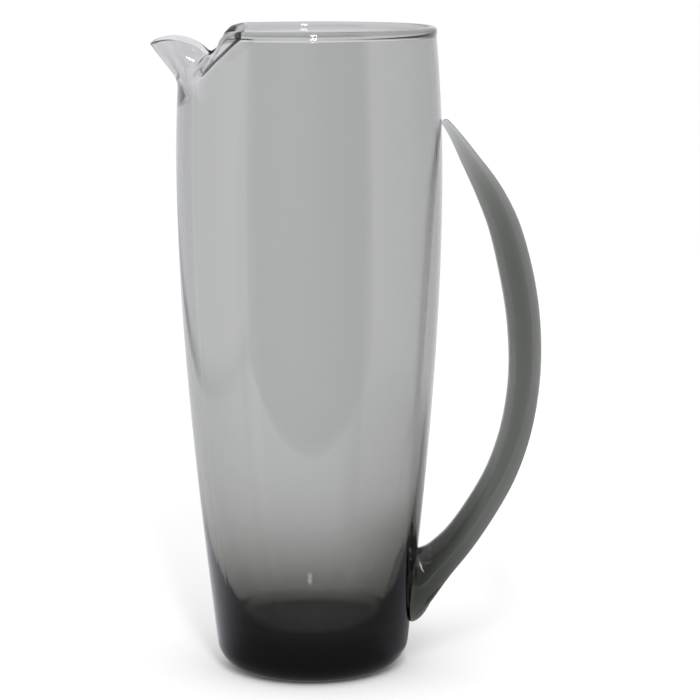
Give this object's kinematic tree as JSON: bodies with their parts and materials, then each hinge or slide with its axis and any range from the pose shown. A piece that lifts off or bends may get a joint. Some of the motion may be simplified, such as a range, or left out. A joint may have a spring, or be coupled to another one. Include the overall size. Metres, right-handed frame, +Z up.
{
  "type": "cocktail pitcher",
  "caption": "Tall blown smoke-glass cocktail pitcher with a thick base, a pulled and pinched spout and an applied solid glass handle welded at its foot.",
  "frame": {"origin": "on the body's axis at the flat base that stands on the table", "axes": "+Z up the body's axis, +X towards the handle, -X towards the spout, Y across the mirror plane"},
  "size_m": [0.1608, 0.109, 0.267],
  "materials": {
    "smoke_glass_body": "clear smoke-grey blown glass, polished",
    "smoke_glass_handle": "solid smoke-grey glass rod, polished"
  },
  "bodies": {
    "root": {"pitcher_body": "smoke_glass_body", "applied_handle": "smoke_glass_handle"}
  },
  "joints": []
}
